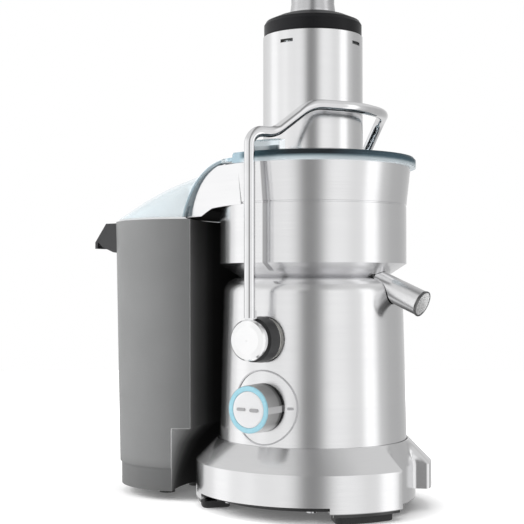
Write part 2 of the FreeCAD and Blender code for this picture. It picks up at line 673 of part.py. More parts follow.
# --- turning parts -------------------------------------------------------
node(rev("motor_shaft", [(0.0, 57.0), (4.0, 57.0), (shaft_r, 58.0), (shaft_r, 208.4), (4.2, 209.2), (0.0, 209.2)]),
     "motor_shaft")
b = doc.addObject("PartDesign::Body", "rotor_core")
sk = new_sketch(b, "XY_Plane", "rotor_plan", 97.0)
circles(sk, [(0.0, 0.0, 25.2), (0.0, 0.0, 5.05)], "rotor")
pad(b, sk, "rotor_stack", 42.0)
sk = new_sketch(b, "XY_Plane", "rotor_slot", 97.0)
polygon(sk, [(18.0, -1.4), (26.0, -1.4), (26.0, 1.4), (18.0, 1.4)], "rotor_slot")
v = pocket(b, sk, "rotor_slot_depth", 43.0, reverse=True)
polar(b, [v], "rotor_slots", 12, sk)
node(b, "rotor_core")
node(compound("rotor_windings", [
    rev("rotor_winding_low", [(5.05, 88.0), (15.0, 88.0), (21.0, 92.0), (21.0, 97.0), (5.05, 97.0)]),
    rev("rotor_winding_top", [(5.05, 139.0), (21.0, 139.0), (21.0, 144.0), (15.0, 148.0), (5.05, 148.0)])]), "rotor_windings")
node(rev("commutator", [(5.05, 72.8), (13.0, 72.8), (13.0, 84.5), (15.0, 84.5), (15.0, 87.8), (5.05, 87.8)]), "commutator")
b = doc.addObject("PartDesign::Body", "cooling_fan")
sk = new_sketch(b, "XY_Plane", "fan_disc", 149.0)
circles(sk, [(0.0, 0.0, 41.0), (0.0, 0.0, 5.05)], "fan_disc")
pad(b, sk, "fan_disc_thick", 1.6)
sk = new_sketch(b, "XY_Plane", "fan_hub", 150.6)
circles(sk, [(0.0, 0.0, 11.0), (0.0, 0.0, 5.05)], "fan_hub")
pad(b, sk, "fan_hub_height", 6.0)
sk = new_sketch(b, "XY_Plane", "fan_blade", 150.6)
polygon(sk, [(16.0, -0.8), (40.0, 5.0), (40.0, 6.8), (16.0, 0.8)], "fan_blade")
v = pad(b, sk, "fan_blade_height", 6.0)
polar(b, [v], "fan_blades", 11, sk)
node(b, "cooling_fan")
node(rev("drive_coupling", [(5.05, 199.0), (13.0, 199.0), (18.0, 206.0), (18.0, 210.0), (7.9, 210.0), (7.9, 216.0),
                            (4.5, 219.0), (0.0, 219.0), (0.0, 209.4), (5.05, 209.4)]), "drive_coupling")
node(rev("filter_basket", [(8.0, 210.0), (46.5, 210.0), (66.8, 267.0), (70.0, 267.0), (70.0, 269.5), (65.3, 269.5),
                           (45.4, 212.0), (8.0, 212.0)]), "filter_basket")
b = rev("grating_disc", [(8.0, 212.0), (44.6, 212.0), (44.6, 213.6), (8.0, 213.6)])
teeth = []
for k, r in enumerate((14.0, 20.0, 26.0, 32.0, 38.0)):
    sk = new_sketch(b, "XY_Plane", "tooth_%d" % k, 213.6)
    off = 1.6 * (k % 2)
    polygon(sk, [(r, -0.7 + off), (r + 2.4, -0.2 + off), (r + 2.4, 0.5 + off), (r, 0.7 + off)], "tooth_%d" % k)
    teeth.append(pad(b, sk, "tooth_height_%d" % k, 1.3))
polar(b, teeth, "grating_teeth", 14, sk)
node(b, "grating_disc")

# --- bowl ----------------------------------------------------------------
turn = turned([(48, 192), (61.0, 192), (bowl_r.v, 204), (bowl_r.v, seam_z.v - 0.9), (bowl_r.v - 0.5, seam_z.v - 0.5),
               (bowl_r.v - 0.5, seam_z.v + 0.3), (bowl_r.v + 0.1, seam_z.v + 0.7), (bowl_top_r.v, bowl_top.v),
               (bowl_top_r.v - 1.2, bowl_top.v), (bowl_r.v - 1.2, seam_z.v + 0.7), (bowl_r.v - 1.2, 204.9),
               (60.3, 193.2), (48, 193.2)])
# the wall gives way to the duct on the pulp side, above the high end of the duct's sloping floor
floor_z = cell("duct_floor_high", 252.0).v
turn = turn.cut(Part.makeBox(70, 156, 60, Vector(-97, -78, floor_z + 0.6)))
cheeks = []
ex, ey = duct_end_x.v, duct_end_y.v


def cheek_line(r, end_y):
    """Tangent from the duct's end to a circle about the axis: its start, and a unit vector along it."""
    d = math.hypot(ex, end_y)
    a = math.atan2(-end_y, ex) + math.acos(r / d)
    tx, ty = r * math.cos(a), r * math.sin(a)
    n = math.hypot(ex - tx, -end_y - ty)
    return tx, ty, (ex - tx) / n, (-end_y - ty) / n, n


def strip(z, r, end_y, thick, s, grow=0.0, start=-3.0):
    tx, ty, dx, dy, n = cheek_line(r, end_y)
    nx, ny = dy, -dx           # points away from the axis
    if nx * tx + ny * ty < 0:
        nx, ny = -nx, -ny
    a = (tx + dx * start + nx * grow, ty + dy * start + ny * grow)
    b_ = (tx + dx * (n + 0) + nx * grow, ty + dy * (n + 0) + ny * grow)
    c = (b_[0] - nx * thick, b_[1] - ny * thick)
    d = (a[0] - nx * thick, a[1] - ny * thick)
    q = [Vector(p[0], p[1] * s, z) for p in (a, b_, c, d)]
    return Part.makePolygon(q + [q[0]])


for s in (1, -1):
    ch = Part.makeLoft([strip(duct_z.v, bowl_r.v - 0.25, ey, 1.3, s), strip(bowl_top.v, bowl_top_r.v - 0.25, ey + 3, 1.3, s)], True, True)
    corner = Part.makeBox(90, 240, 90, Vector(arc_x.v - 90, -120, arc_z.v)).cut(
        Part.makeCylinder(arc_r.v, 240, Vector(arc_x.v, -120, arc_z.v), Vector(0, 1, 0)))
    cheeks.append(ch.cut(corner))
# floor of the duct: it falls away from the bowl to the container's rim, and the cheeks end on it
slope_pts = [(78.4, floor_z), (88.0, floor_z - 1.7), (95.5, duct_z.v + 0.4), (111.4, duct_z.v + 0.2)]
below = turned(slope_pts + [(125.0, duct_z.v + 0.2), (125.0, 200.0), (78.4, 200.0)]).cut(Part.makeCylinder(bowl_r.v - 0.4, 60, Vector(0, 0, 195)))
floor_ring = turned(slope_pts + [(a, b_ + 1.4) for a, b_ in reversed(slope_pts)])
fy = ey + 1.0
wedge = prism([(-27.5, -73.6), (ex + 5.5, -fy), (ex + 4.4, -48.6), (-112.5, -43.0), (-112.5, 43.0), (ex + 4.4, 48.6), (ex + 5.5, fy),
               (-27.5, 73.6)], 230, 270)
surround = turn.fuse([c.cut(below) for c in cheeks]).fuse(floor_ring.common(wedge))
sd = Vector(math.cos(math.radians(spout_a.v)), 0, -math.sin(math.radians(spout_a.v)))
root = Vector(spout_root_x.v, 0, spout_root_z.v)
surround = surround.cut(Part.makeCylinder(10.6, 40, root + sd * 0.2, sd))
node(feature("bowl_surround", one_solid(surround, "bowl_surround")), "bowl_surround")

fb = rev("filter_bowl_turn", [(24.0, 193.2), (59.2, 193.2), (75.0, 207.5), (75.0, 252.0), (72.8, 252.0), (72.8, 208.3),
                              (58.4, 195.4), (26.2, 195.4), (26.2, 203.0), (24.0, 203.0)])
fo = cyl("filter_bowl_outlet", 5.0, 30.0, spout_root_x - 6, 0, spout_root_z + 10.6, slope)
node(cut("filter_bowl", fb, [fo]), "filter_bowl")

sp_len = cell("spout_length", 45.2)
sp_r0, sp_r1 = cell("spout_root_radius", 10.3), cell("spout_tip_radius", 10.7)
sb = rev("spout_tube", [(sp_r0 - 1.2, 0.2), (sp_r0, 0.2), (sp_r1 - 0.2, sp_len - 2.4), (sp_r1 + 0.3, sp_len - 0.8),
                        (sp_r1 + 0.2, sp_len), (sp_r1 - 1.2, sp_len)])
node(sb, "juice_spout", spout_root_x, 0, spout_root_z, slope)

# rubber lip along the low end of the duct's floor
lip = turned([(111.5, 243.9), (113.4, 243.9), (113.4, 247.0), (111.5, 247.0)]).common(Part.makeBox(60, 70, 20, Vector(-140, -35, 235)))
node(feature("duct_gasket", one_solid(lip, "duct_gasket")), "duct_gasket")

# --- cover ---------------------------------------------------------------
t_lid = cell("lid_wall", 2.4).v
ring = turned([(79.2, 285), (lid_r.v, 285), (lid_r.v, 291.2), (85.8, 293.4), (60, lid_top.v), (41.5, lid_top.v), (41.5, 293.8),
               (60, 293.8), (77.4, 290.6), (77.4, 279.5), (79.2, 279.5)])
ring = ring.cut(Part.makeBox(80, 200, 60, Vector(-106, -100, 262)))
ridge = [(6, 297.4, 7), (-22, 297.2, 8), (-55, 295.6, 18), (-98, 289.2, 36), (-130, 281.6, 41), (-160, 272.0, 41), (-182, 261.8, 41),
         (-202, 248.0, 41)]


def fall(y, drop):
    """How far the roof is below its ridge at y: round on top, straighter down the sides."""
    e = 0.1
    u = y / 90.0
    return drop * (math.sqrt(u * u + e * e) - e) / (math.sqrt(1 + e * e) - e)


def roof(down):
    wires = []
    for x, z, drop in ridge:
        pts = [Vector(x, y, z - fall(y, drop) - down) for y in (-90, -66, -44, -26, -12, 0, 12, 26, 44, 66, 90)]
        curve = Part.BSplineCurve()
        curve.interpolate(pts)
        l0, l1 = Vector(x, -90, 200), Vector(x, 90, 200)
        wires.append(Part.Wire([Part.LineSegment(l0, pts[0]).toShape(), curve.toShape(),
                                Part.LineSegment(pts[-1], l1).toShape(), Part.LineSegment(l1, l0).toShape()]))
    return Part.makeLoft(wires, True, False)


tx2, ty2, dx2, dy2, n2 = cheek_line(bowl_r.v + 1.6, ey + 0.6)


def hood_plan(inset, z0, z1):
    wedge = prism([(-18, -(abs(ty2) + 2.6) + inset), (ex + 3, -(ey + 1.6) + inset), (ex + 3, ey + 1.6 - inset),
                   (-18, abs(ty2) + 2.6 - inset)], z0, z1)
    drum = Part.makeCylinder(bin_r.v - 2.6 - inset, z1 - z0, Vector(bin_x.v, 0, z0))
    return wedge.fuse(drum)


hood_z = cell("hood_bottom", 244.8).v
outer = roof(0).common(hood_plan(0, hood_z, 310))
inner = roof(t_lid).common(hood_plan(t_lid, hood_z - 5, 310))
hood = outer.cut(inner)
# under the parting arc the bowl and its cheeks take over
under = Part.makeCylinder(arc_r.v + 0.6, 240, Vector(arc_x.v, -120, arc_z.v), Vector(0, 1, 0)).fuse(
    Part.makeBox(60, 240, 80, Vector(arc_x.v, -120, 205.6 + 0.0)))
hood = hood.cut(under)
# flange that follows the parting line
fl_o = Part.makeCylinder(arc_r.v + 3.4, 240, Vector(arc_x.v, -120, arc_z.v), Vector(0, 1, 0)).common(
    Part.makeBox(90, 240, 90, Vector(arc_x.v - 90, -120, hood_z)))
fl_o = fl_o.fuse(Part.makeBox(14.0, 240, 3.4, Vector(arc_x.v, -120, bowl_top.v + 0.6 + 0.9)))
fl_o = fl_o.cut(under)
band = prism([(-22, -(abs(ty2) + 5.6)), (ex - 2, -(ey + 3.8)), (ex - 2, ey + 3.8), (-22, abs(ty2) + 5.6)], 230, 300).cut(
    prism([(-10, -(abs(ty2) + 0.4)), (ex - 8, -(ey - 1.4)), (ex - 8, ey - 1.4), (-10, abs(ty2) + 0.4)], 220, 310))
flange = fl_o.common(band)
cover = hood.fuse(ring).fuse(flange)
for s in (1, -1):
    lug = Part.makeBox(24, 12.5, 10.4, Vector(-8, 67.5 if s > 0 else -80.0, 292.2))
    up = [e for e in lug.Edges if abs(e.Vertexes[0].Z - e.Vertexes[-1].Z) > 1]
    lug = lug.makeFillet(3.0, up)
    cover = cover.fuse(lug)
cover = cover.cut(Part.makeCylinder(41.5, 60, Vector(0, 0, 270)))
node(feature("juicer_cover", one_solid(cover, "juicer_cover")), "juicer_cover")

# --- chute and pusher ----------------------------------------------------
node(rev("feed_chute_tube", [(38.2, 236.0), (41.3, 236.0), (41.3, chute_top - 0.2), (38.2, chute_top - 0.2)]), "feed_chute_tube")
b = rev("chute_sleeve", [(chute_r - 1.1, lid_top + 0.6), (chute_r, lid_top + 0.6), (chute_r, chute_top - 0.5),
                         (chute_r - 0.5, chute_top), (chute_r - 1.1, chute_top)])
sk = new_sketch(b, "XZ_Plane", "chute_slot")
polygon(sk, [(-6.0, 387.6), (6.0, 387.6), (6.0, 390.4), (-6.0, 390.4)], "chute_slot")
pocket(b, sk, "chute_slot_depth", 100.0, both=True)
sk = new_sketch(b, "YZ_Plane", "chute_slot_side")
polygon(sk, [(-6.0, 387.6), (6.0, 387.6), (6.0, 390.4), (-6.0, 390.4)], "chute_slot_side")
pocket(b, sk, "chute_slot_side_depth", 100.0, both=True)
node(b, "chute_sleeve")
node(rev("pusher_plunger", [(0.0, 240.0), (35.6, 240.0), (37.5, 242.0), (37.5, chute_top + 0.4), (34.8, chute_top + 0.4),
                            (34.8, 243.0), (0.0, 243.0)]), "pusher_plunger")
node(rev("pusher_collar", [(0.0, chute_top + 0.4), (41.4, chute_top + 0.4), (41.8, chute_top + 0.8), (41.8, 408.0), (40.0, 411.0), (30.0, 415.4),
                           (25.0, 417.0), (0.0, 417.0)]), "pusher_collar")
node(rev("pusher_grip", [(0.0, 417.0), (19.6, 417.0), (19.4, 420.0), (18.4, 427.0), (18.6, 435.0), (20.2, 443.0), (20.0, 446.6),
                         (17.6, 449.4), (0.0, 450.0)]), "pusher_grip")

# --- pulp container ------------------------------------------------------
rise = bin_top - bin_z0
bin_hi = cell("container_hollow_radius", 105.5)      # its inner side is hollowed round the motor tower
bin_lo = cell("container_low_hollow_radius", 122.0)  # and more so beside the plinth
step = cell("container_step", 28.0)
drum = cone("bin_outer_cone", bin_r0, bin_r, rise, bin_x, 0, bin_z0)
grad = (bin_r.v - bin_r0.v) / rise.v
low = cone("bin_low_outer", bin_r0 + 4.0, bin_r0 + 4.0, step - bin_z0, bin_x, 0, bin_z0)
low_i = cone("bin_low_inner", bin_r0.v - 1.4, bin_r0.v - 1.4 + grad * 20.0, step - bin_z0, bin_x, 0, bin_z0)
low_r = cut("bin_low_ring", low, [low_i])
clear_hi = cyl("bin_clear_high", bin_hi, 300.0, 0, 0, 0)
clear_lo = cyl("bin_clear_low", bin_lo, 62.0, 0, 0, 0)
bin_o = cut("bin_outer", drum, [low_r, clear_hi, clear_lo])
drum_i = cone("bin_inner_cone", bin_r0.v - 3.8, bin_r.v - bin_wall.v, rise, bin_x, 0, bin_z0 + bin_wall)
hi_i = cyl("bin_keep_high", bin_hi + bin_wall, 300.0, 0, 0, 0)
lo_i = cyl("bin_keep_low", bin_lo + bin_wall, 62.0 + bin_wall.v, 0, 0, 0)
bin_i = cut("bin_inner", drum_i, [hi_i, lo_i])
node(cut("pulp_container", bin_o, [bin_i]), "pulp_container")

b = doc.addObject("PartDesign::Body", "bin_lip")
sk = new_sketch(b, "XZ_Plane", "bin_lip_profile")
polygon(sk, [(-176.0, 242.4), (-198.6, 242.4), (-211.6, 225.4), (-211.6, 219.5), (-208.8, 219.5), (-208.8, 224.6), (-197.4, 239.2),
             (-176.0, 239.2)], "bin_lip")
f = pad(b, sk, "bin_lip_width", 78.0)
f.Midplane = True
# a web closes each end of the lip
for k, y in enumerate((39.0, -36.0)):
    sk = new_sketch(b, "XZ_Plane", "bin_web_%d" % k, cell("bin_web_place_%d" % k, y))
    polygon(sk, [(-176.0, 240.0), (-198.6, 240.0), (-208.6, 226.4), (-203.0, 221.0), (-190.0, 216.0), (-176.0, 214.0)], "bin_web_%d" % k)
    w = pad(b, sk, "bin_web_thick_%d" % k, 3.0)
    w.Reversed = True
update(b)
drum2 = cone("bin_lip_seat", bin_r0, bin_r, rise, bin_x, 0, bin_z0)
node(cut("container_handle", b, [drum2]), "container_handle")
node(compound("container_feet", [
    cyl("container_foot_1", cell("container_foot_radius", 7.0), bin_z0, -176.0, 0.0, 0.0),
    cyl("container_foot_2", cell("container_foot_radius", 7.0), bin_z0, -140.0, 22.0, 0.0),
    cyl("container_foot_3", cell("container_foot_radius", 7.0), bin_z0, -140.0, -22.0, 0.0)]), "container_feet")

# --- check and write -----------------------------------------------------
doc.recompute()
for o in doc.Objects:
    if "Invalid" in o.State or "Error" in o.State:
        raise RuntimeError("failed object: %s %s" % (o.Name, o.State))
box_all = FreeCAD.BoundBox()
for o in nodes:
    if o.Shape.isNull() or not o.Shape.isValid() or not o.Shape.Solids:
        raise RuntimeError("bad shape: " + o.Label)
    box_all.add(o.Shape.BoundBox)
os.makedirs("parts", exist_ok=True)
for o in nodes:
    o.Shape.exportStep("parts/%s.step" % o.Label)
print("%d pieces, box %s" % (len(nodes), box_all))
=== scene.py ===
import json
import math

import bpy
import bmesh
from mathutils import Vector, Matrix


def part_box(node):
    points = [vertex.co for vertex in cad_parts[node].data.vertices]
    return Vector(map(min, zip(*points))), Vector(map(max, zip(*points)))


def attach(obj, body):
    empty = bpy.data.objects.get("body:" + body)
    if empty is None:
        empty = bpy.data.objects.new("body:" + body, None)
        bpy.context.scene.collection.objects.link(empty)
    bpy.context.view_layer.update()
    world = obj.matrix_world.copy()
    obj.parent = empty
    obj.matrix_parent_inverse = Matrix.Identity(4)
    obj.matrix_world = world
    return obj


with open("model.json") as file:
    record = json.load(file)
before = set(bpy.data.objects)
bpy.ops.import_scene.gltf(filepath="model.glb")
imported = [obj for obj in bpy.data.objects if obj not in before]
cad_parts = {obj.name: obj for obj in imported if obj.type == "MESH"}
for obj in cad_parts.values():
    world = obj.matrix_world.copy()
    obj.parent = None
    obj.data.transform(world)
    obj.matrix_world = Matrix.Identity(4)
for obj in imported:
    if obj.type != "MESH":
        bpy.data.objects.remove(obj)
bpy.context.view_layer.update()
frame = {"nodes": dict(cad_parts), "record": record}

scene = bpy.context.scene
N = frame["nodes"]
RECORD = frame["record"]

AX = 0.0512          # the motor axis stands at this X
RIGHT = Vector((0.857, 0.515, 0.0))
FORWARD = Vector((-0.515, 0.857, 0.0))


# ------------------------------------------------------------------ small node helpers
class Tree:
    def __init__(self, tree):
        self.t = tree
        tree.nodes.clear()

    def add(self, kind, **props):
        n = self.t.nodes.new(kind)
        for k, v in props.items():
            setattr(n, k, v)
        return n

    def link(self, a, b):
        self.t.links.new(a, b)

    def put(self, value, socket):
        if isinstance(value, bpy.types.NodeSocket):
            self.link(value, socket)
        else:
            socket.default_value = value

    def math(self, op, a, b=None, c=None, clamp=False):
        n = self.add("ShaderNodeMath", operation=op, use_clamp=clamp)
        self.put(a, n.inputs[0])
        if b is not None:
            self.put(b, n.inputs[1])
        if c is not None:
            self.put(c, n.inputs[2])
        return n.outputs[0]

    def vec(self, op, a, b):
        n = self.add("ShaderNodeVectorMath", operation=op)
        self.put(a, n.inputs[0])
        self.put(b, n.inputs[1])
        return n.outputs["Value"] if op in ("DOT_PRODUCT", "LENGTH", "DISTANCE") else n.outputs["Vector"]

    def range(self, value, a, b, c, d, smooth=False):
        n = self.add("ShaderNodeMapRange")
        n.interpolation_type = "SMOOTHSTEP" if smooth else "LINEAR"
        self.put(value, n.inputs["Value"])
        for name, v in (("From Min", a), ("From Max", b), ("To Min", c), ("To Max", d)):
            n.inputs[name].default_value = v
        return n.outputs["Result"]

    def ramp(self, value, stops, mode="LINEAR"):
        n = self.add("ShaderNodeValToRGB")
        r = n.color_ramp
        r.interpolation = mode
        while len(r.elements) > 1:
            r.elements.remove(r.elements[-1])
        first = True
        for pos, col in stops:
            if isinstance(col, (int, float)):
                col = (col, col, col)
            e = r.elements[0] if first else r.elements.new(pos)
            e.position = pos
            e.color = (*col, 1.0)
            first = False
        self.put(value, n.inputs["Fac"])
        return n.outputs["Color"]

    def mix(self, fac, a, b):
        n = self.add("ShaderNodeMix", data_type="RGBA")
        self.put(fac, n.inputs["Factor"])
        for v, s in ((a, n.inputs[6]), (b, n.inputs[7])):
            if isinstance(v, (tuple, list)):
                v = (*v[:3], 1.0)
            self.put(v, s)
        return n.outputs[2]

    def noise(self, vector, scale, detail=3.0, rough=0.55):
        n = self.add("ShaderNodeTexNoise")
        self.put(vector, n.inputs["Vector"])
        n.inputs["Scale"].default_value = scale
        n.inputs["Detail"].default_value = detail
        n.inputs["Roughness"].default_value = rough
        return n.outputs["Fac"]

    def coords(self):
        return self.add("ShaderNodeTexCoord").outputs["Object"]

    def scaled(self, vector, sx, sy, sz):
        n = self.add("ShaderNodeVectorMath", operation="MULTIPLY")
        self.put(vector, n.inputs[0])
        n.inputs[1].default_value = (sx, sy, sz)
        return n.outputs["Vector"]

    def bump(self, height, strength, distance, normal=None):
        n = self.add("ShaderNodeBump")
        n.inputs["Strength"].default_value = strength
        n.inputs["Distance"].default_value = distance
        self.put(height, n.inputs["Height"])
        if normal is not None:
            self.put(normal, n.inputs["Normal"])
        return n.outputs["Normal"]


def shader(name):
    m = bpy.data.materials.new(name)
    m.use_nodes = True
    t = Tree(m.node_tree)
    out = t.add("ShaderNodeOutputMaterial")
    b = t.add("ShaderNodeBsdfPrincipled")
    t.link(b.outputs["BSDF"], out.inputs["Surface"])
    return m, t, b


def brushed(name, light, dark, rough, lines=1700.0, along=7.0, bump=0.05, metallic=1.0):
    """Metal brushed in level lines: the grain is long round the piece and fine up it."""
    m, t, b = shader(name)
    c = t.coords()
    fine = t.noise(t.scaled(c, along, along, lines), 1.0, 4.0, 0.6)
    broad = t.noise(t.scaled(c, 14.0, 14.0, 60.0), 1.0, 2.0, 0.5)
    tone = t.math("ADD", t.math("MULTIPLY", fine, 0.7), t.math("MULTIPLY", broad, 0.3))
    t.link(t.ramp(tone, ((0.30, dark), (0.70, light))), b.inputs["Base Color"])
    t.link(t.range(tone, 0.3, 0.7, rough + 0.04, rough - 0.04), b.inputs["Roughness"])
    b.inputs["Metallic"].default_value = metallic
    t.link(t.bump(fine, bump, 0.0004), b.inputs["Normal"])
    return m


def polished(name, light, dark, rough):
    """Bright plated metal with a faint bloom of fingerprints and polishing."""
    m, t, b = shader(name)
    c = t.coords()
    n = t.noise(c, 46.0, 4.0, 0.6)
    t.link(t.ramp(n, ((0.25, dark), (0.75, light))), b.inputs["Base Color"])
    t.link(t.range(n, 0.3, 0.7, rough + 0.03, max(rough - 0.02, 0.01)), b.inputs["Roughness"])
    b.inputs["Metallic"].default_value = 1.0
    return m


def moulded(name, light, dark, rough, grain=900.0, bump=0.08, coat=0.0, spec=0.5):
    """Moulded plastic or rubber: a fine even grain and a slow change of tone."""
    m, t, b = shader(name)
    c = t.coords()
    fine = t.noise(c, grain, 2.0, 0.5)
    slow = t.noise(c, 22.0, 2.0, 0.5)
    tone = t.math("ADD", t.math("MULTIPLY", fine, 0.4), t.math("MULTIPLY", slow, 0.6))
    t.link(t.ramp(tone, ((0.30, dark), (0.70, light))), b.inputs["Base Color"])
    t.link(t.range(tone, 0.3, 0.7, rough + 0.05, rough - 0.05), b.inputs["Roughness"])
    b.inputs["Coat Weight"].default_value = coat
    b.inputs["Specular IOR Level"].default_value = spec
    t.link(t.bump(fine, bump, 0.0003), b.inputs["Normal"])
    return m


def clear(name, light, dark, rough, ior=1.46):
    """Clear moulded plastic with a slight tint that wanders a little."""
    m, t, b = shader(name)
    c = t.coords()
    slow = t.noise(c, 18.0, 2.0, 0.5)
    t.link(t.ramp(slow, ((0.30, dark), (0.70, light))), b.inputs["Base Color"])
    t.link(t.range(slow, 0.3, 0.7, rough + 0.02, rough), b.inputs["Roughness"])
    b.inputs["Transmission Weight"].default_value = 1.0
    b.inputs["IOR"].default_value = ior
    return m


def between(t, value, a, b, soft):
    """1 where a < value < b, falling to 0 over soft on each side."""
    up = t.range(value, a - soft, a + soft, 0.0, 1.0, smooth=True)
    down = t.range(value, b - soft, b + soft, 1.0, 0.0, smooth=True)
    return t.math("MULTIPLY", up, down)


def split(t, vector):
    n = t.add("ShaderNodeSeparateXYZ")
    t.link(vector, n.inputs[0])
    return n.outputs["X"], n.outputs["Y"], n.outputs["Z"]


def cover_plastic():
    """Pale clear hood. The thick rim of the lid and the edge along the parting line are painted dark and made nearly
    opaque, painted shade for the dark look of clear edges; the rim's colour also changes round the lid as painted
    reflection.
    """
    m, t, b = shader("cover_clear")
    c = t.coords()
    x, y, z = split(t, c)
    dx = t.math("SUBTRACT", x, AX)
    radius = t.math("SQRT", t.math("ADD", t.math("MULTIPLY", dx, dx), t.math("MULTIPLY", y, y)))
    rim = t.math("MULTIPLY", t.range(radius, 0.0790, 0.0805, 0.0, 1.0), t.range(z, 0.2828, 0.2840, 0.0, 1.0))
    rim = t.math("MULTIPLY", rim, t.range(dx, -0.040, -0.034, 0.0, 1.0))
    lugs = t.math("MULTIPLY", t.range(z, 0.2972, 0.2978, 0.0, 1.0), rim)
    ax, az = t.math("SUBTRACT", dx, -0.036), t.math("SUBTRACT", z, 0.224)
    arc = t.math("SQRT", t.math("ADD", t.math("MULTIPLY", ax, ax), t.math("MULTIPLY", az, az)))
    line = t.math("MULTIPLY", between(t, arc, 0.0616, 0.0654, 0.0006), t.range(dx, -0.040, -0.044, 0.0, 1.0))
    slow = t.noise(c, 18.0, 2.0, 0.5)
    pale = t.ramp(slow, ((0.30, (0.90, 0.955, 0.98)), (0.70, (0.94, 0.975, 0.99))))
    # Painted shade: the thick rim is painted with dark bands up its height, for the dark look of a clear edge seen
    # edge-on.
    band = t.ramp(t.math("ADD", t.range(z, 0.284, 0.298, 0.0, 1.0), t.math("MULTIPLY", t.math("SUBTRACT", slow, 0.5), 0.05)), (
        (0.0, (0.58, 0.63, 0.655)), (0.20, (0.42, 0.48, 0.51)), (0.34, (0.12, 0.16, 0.18)), (0.41, (0.020, 0.024, 0.027)), (0.64, (0.020, 0.023, 0.026)),
        (0.74, (0.14, 0.16, 0.175)), (0.95, (0.30, 0.35, 0.38))))
    # Painted reflection: the rim's colour is painted to change round the lid, its upper part darker in the middle and
    # to the right, the whole band paler to the left.
    upper = t.range(z, 0.2874, 0.2890, 0.0, 1.0)
    band = t.mix(t.math("MULTIPLY", upper, t.range(dx, 0.056, 0.086, 0.0, 0.8)), band, (0.075, 0.118, 0.145))
    band = t.mix(t.math("MULTIPLY", upper, t.range(dx, 0.030, 0.002, 0.0, 0.75)), band, (0.030, 0.062, 0.078))
    band = t.mix(t.range(dx, -0.012, -0.018, 0.0, 1.0), band, (0.27, 0.36, 0.41))
    colour = t.mix(rim, pale, band)
    colour = t.mix(lugs, colour, (0.72, 0.83, 0.88))
    colour = t.mix(t.range(dx, -0.046, -0.041, 1.0, 0.0), colour, t.ramp(slow, ((0.30, (0.55, 0.70, 0.77)), (0.70, (0.62, 0.76, 0.82)))))
    # Painted shade: a dark line is painted along the hood's parting line, for the dark look of its clear edge.
    colour = t.mix(line, colour, (0.12, 0.165, 0.19))
    t.link(colour, b.inputs["Base Color"])
    solid = t.math("MAXIMUM", t.math("MULTIPLY", t.math("SUBTRACT", rim, lugs), 0.9), t.math("MULTIPLY", line, 0.75))
    film = t.math("MULTIPLY", t.range(dx, -0.046, -0.041, 1.0, 0.0), t.range(solid, 0.0, 1.0, 1.0, 0.0))
    t.link(t.math("SUBTRACT", t.range(solid, 0.0, 1.0, 1.0, 0.0), film), b.inputs["Transmission Weight"])
    t.link(t.range(film, 0.0, 1.0, 1.0, 0.17), b.inputs["Alpha"])
    t.link(t.range(slow, 0.3, 0.7, 0.16, 0.10), b.inputs["Roughness"])
    b.inputs["IOR"].default_value = 1.05
    return m


def container_plastic():
    """Satin grey plastic. The hollow side towards the motor tower is painted darker the deeper it lies, painted shade
    for the gap there, and is made metallic so that it reflects little.
    """
    m, t, b = shader("container_grey")
    c = t.coords()
    x, y, z = split(t, c)
    dx = t.math("SUBTRACT", x, AX)
    radius = t.math("SQRT", t.math("ADD", t.math("MULTIPLY", dx, dx), t.math("MULTIPLY", y, y)))
    fine = t.noise(c, 1500.0, 2.0, 0.5)
    slow = t.noise(c, 22.0, 2.0, 0.5)
    tone = t.math("ADD", t.math("MULTIPLY", fine, 0.4), t.math("MULTIPLY", slow, 0.6))
    grey = t.ramp(tone, ((0.30, (0.131, 0.133, 0.133)), (0.70, (0.150, 0.152, 0.152))))
    band = t.range(z, 0.036, 0.022, 0.0, 0.42, smooth=True)
    grey = t.mix(band, grey, (0.030, 0.030, 0.030))
    high = t.range(radius, 0.1057, 0.1063, 1.0, 0.0)
    low = t.math("MULTIPLY", t.range(radius, 0.1222, 0.1228, 1.0, 0.0), t.range(z, 0.0618, 0.0628, 1.0, 0.0))
    hollow = t.math("MAXIMUM", high, low)
    wander = t.math("MULTIPLY", t.math("SUBTRACT", tone, 0.5), 0.04)
    # Painted shade: the hollow side is painted from dark grey at its front edge to near black further back, for the
    # shade of the gap beside the motor tower.
    painted_gap_shade = t.ramp(t.math("ADD", t.range(y, -0.052, 0.012, 0.0, 1.0), wander), (
        (0.0, 0.40), (0.17, 0.246), (0.39, 0.125), (0.56, 0.072), (0.70, 0.021), (0.83, 0.004), (1.0, 0.002)))
    # Painted shade: on the lower part of the hollow side the darkening runs at a slant, pale at the front and top, near
    # black at the back and bottom.
    rise_ = t.math("SUBTRACT", z, 0.045)
    sloped = t.math("SUBTRACT", t.math("SUBTRACT", y, rise_), t.math("MULTIPLY", t.math("MAXIMUM", rise_, 0.0), 0.7))
    painted_foot_shade = t.ramp(t.math("ADD", t.range(sloped, -0.071, 0.002, 0.0, 1.0), wander), (
        (0.0, 0.98), (0.233, 0.80), (0.384, 0.62), (0.466, 0.46), (0.534, 0.38), (0.616, 0.24), (0.70, 0.17), (0.767, 0.08),
        (0.85, 0.03), (1.0, 0.004)))
    painted_gap_shade = t.mix(t.math("MULTIPLY", low, t.range(radius, 0.1062, 0.1066, 0.0, 1.0)), painted_gap_shade, painted_foot_shade)
    t.link(t.mix(hollow, grey, painted_gap_shade), b.inputs["Base Color"])
    t.link(hollow, b.inputs["Metallic"])
    t.link(t.math("ADD", t.range(tone, 0.3, 0.7, 0.47, 0.37), t.math("MULTIPLY", hollow, 0.2)), b.inputs["Roughness"])
    t.link(t.bump(fine, 0.10, 0.0003), b.inputs["Normal"])
    return m


